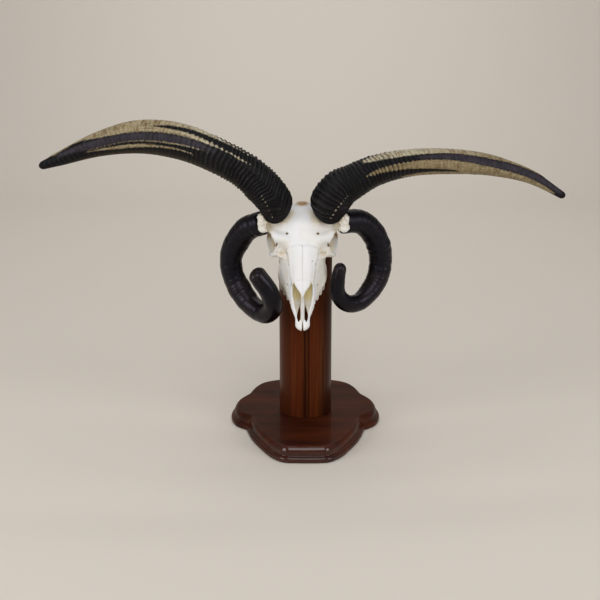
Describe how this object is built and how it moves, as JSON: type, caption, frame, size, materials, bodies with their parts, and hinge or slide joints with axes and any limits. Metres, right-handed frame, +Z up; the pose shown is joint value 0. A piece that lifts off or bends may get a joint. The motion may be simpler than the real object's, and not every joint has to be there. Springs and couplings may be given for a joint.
{
  "type": "four-horned ram skull on a wooden pedestal",
  "caption": "Multi-horned ram skull with long sweeping upper horns and curled side horns, fixed nose down on a round wooden column with a lobed, moulded base.",
  "frame": {"origin": "middle of the pedestal base's underside, on the floor", "axes": "+Z up; -Y the way the skull faces; +X to the right for someone who looks at the skull's face"},
  "size_m": [0.8436, 0.357, 0.5265],
  "materials": {
    "base_wood": "dark brown lacquered hardwood, glossy",
    "column_wood": "dark brown laminated hardwood in upright strips, satin lacquer",
    "bone": "bleached, cleaned bone, dry and matt, creamier in hollows",
    "upper_horn": "dark brown ringed horn with worn cream and olive streaks",
    "lateral_horn": "black ringed horn, satin, glossier at the tips"
  },
  "bodies": {
    "root": {"pedestal_base": "base_wood", "pedestal_column": "column_wood", "horn_upper_left": "upper_horn", "horn_upper_right": "upper_horn", "horn_lateral_left": "lateral_horn", "horn_lateral_right": "lateral_horn", "skull_frontal": "bone", "skull_braincase": "bone", "skull_nasal_left": "bone", "skull_nasal_right": "bone", "skull_maxilla_left": "bone", "skull_maxilla_right": "bone", "skull_premaxilla_left": "bone", "skull_premaxilla_right": "bone", "skull_zygomatic_left": "bone", "skull_zygomatic_right": "bone"}
  },
  "joints": []
}
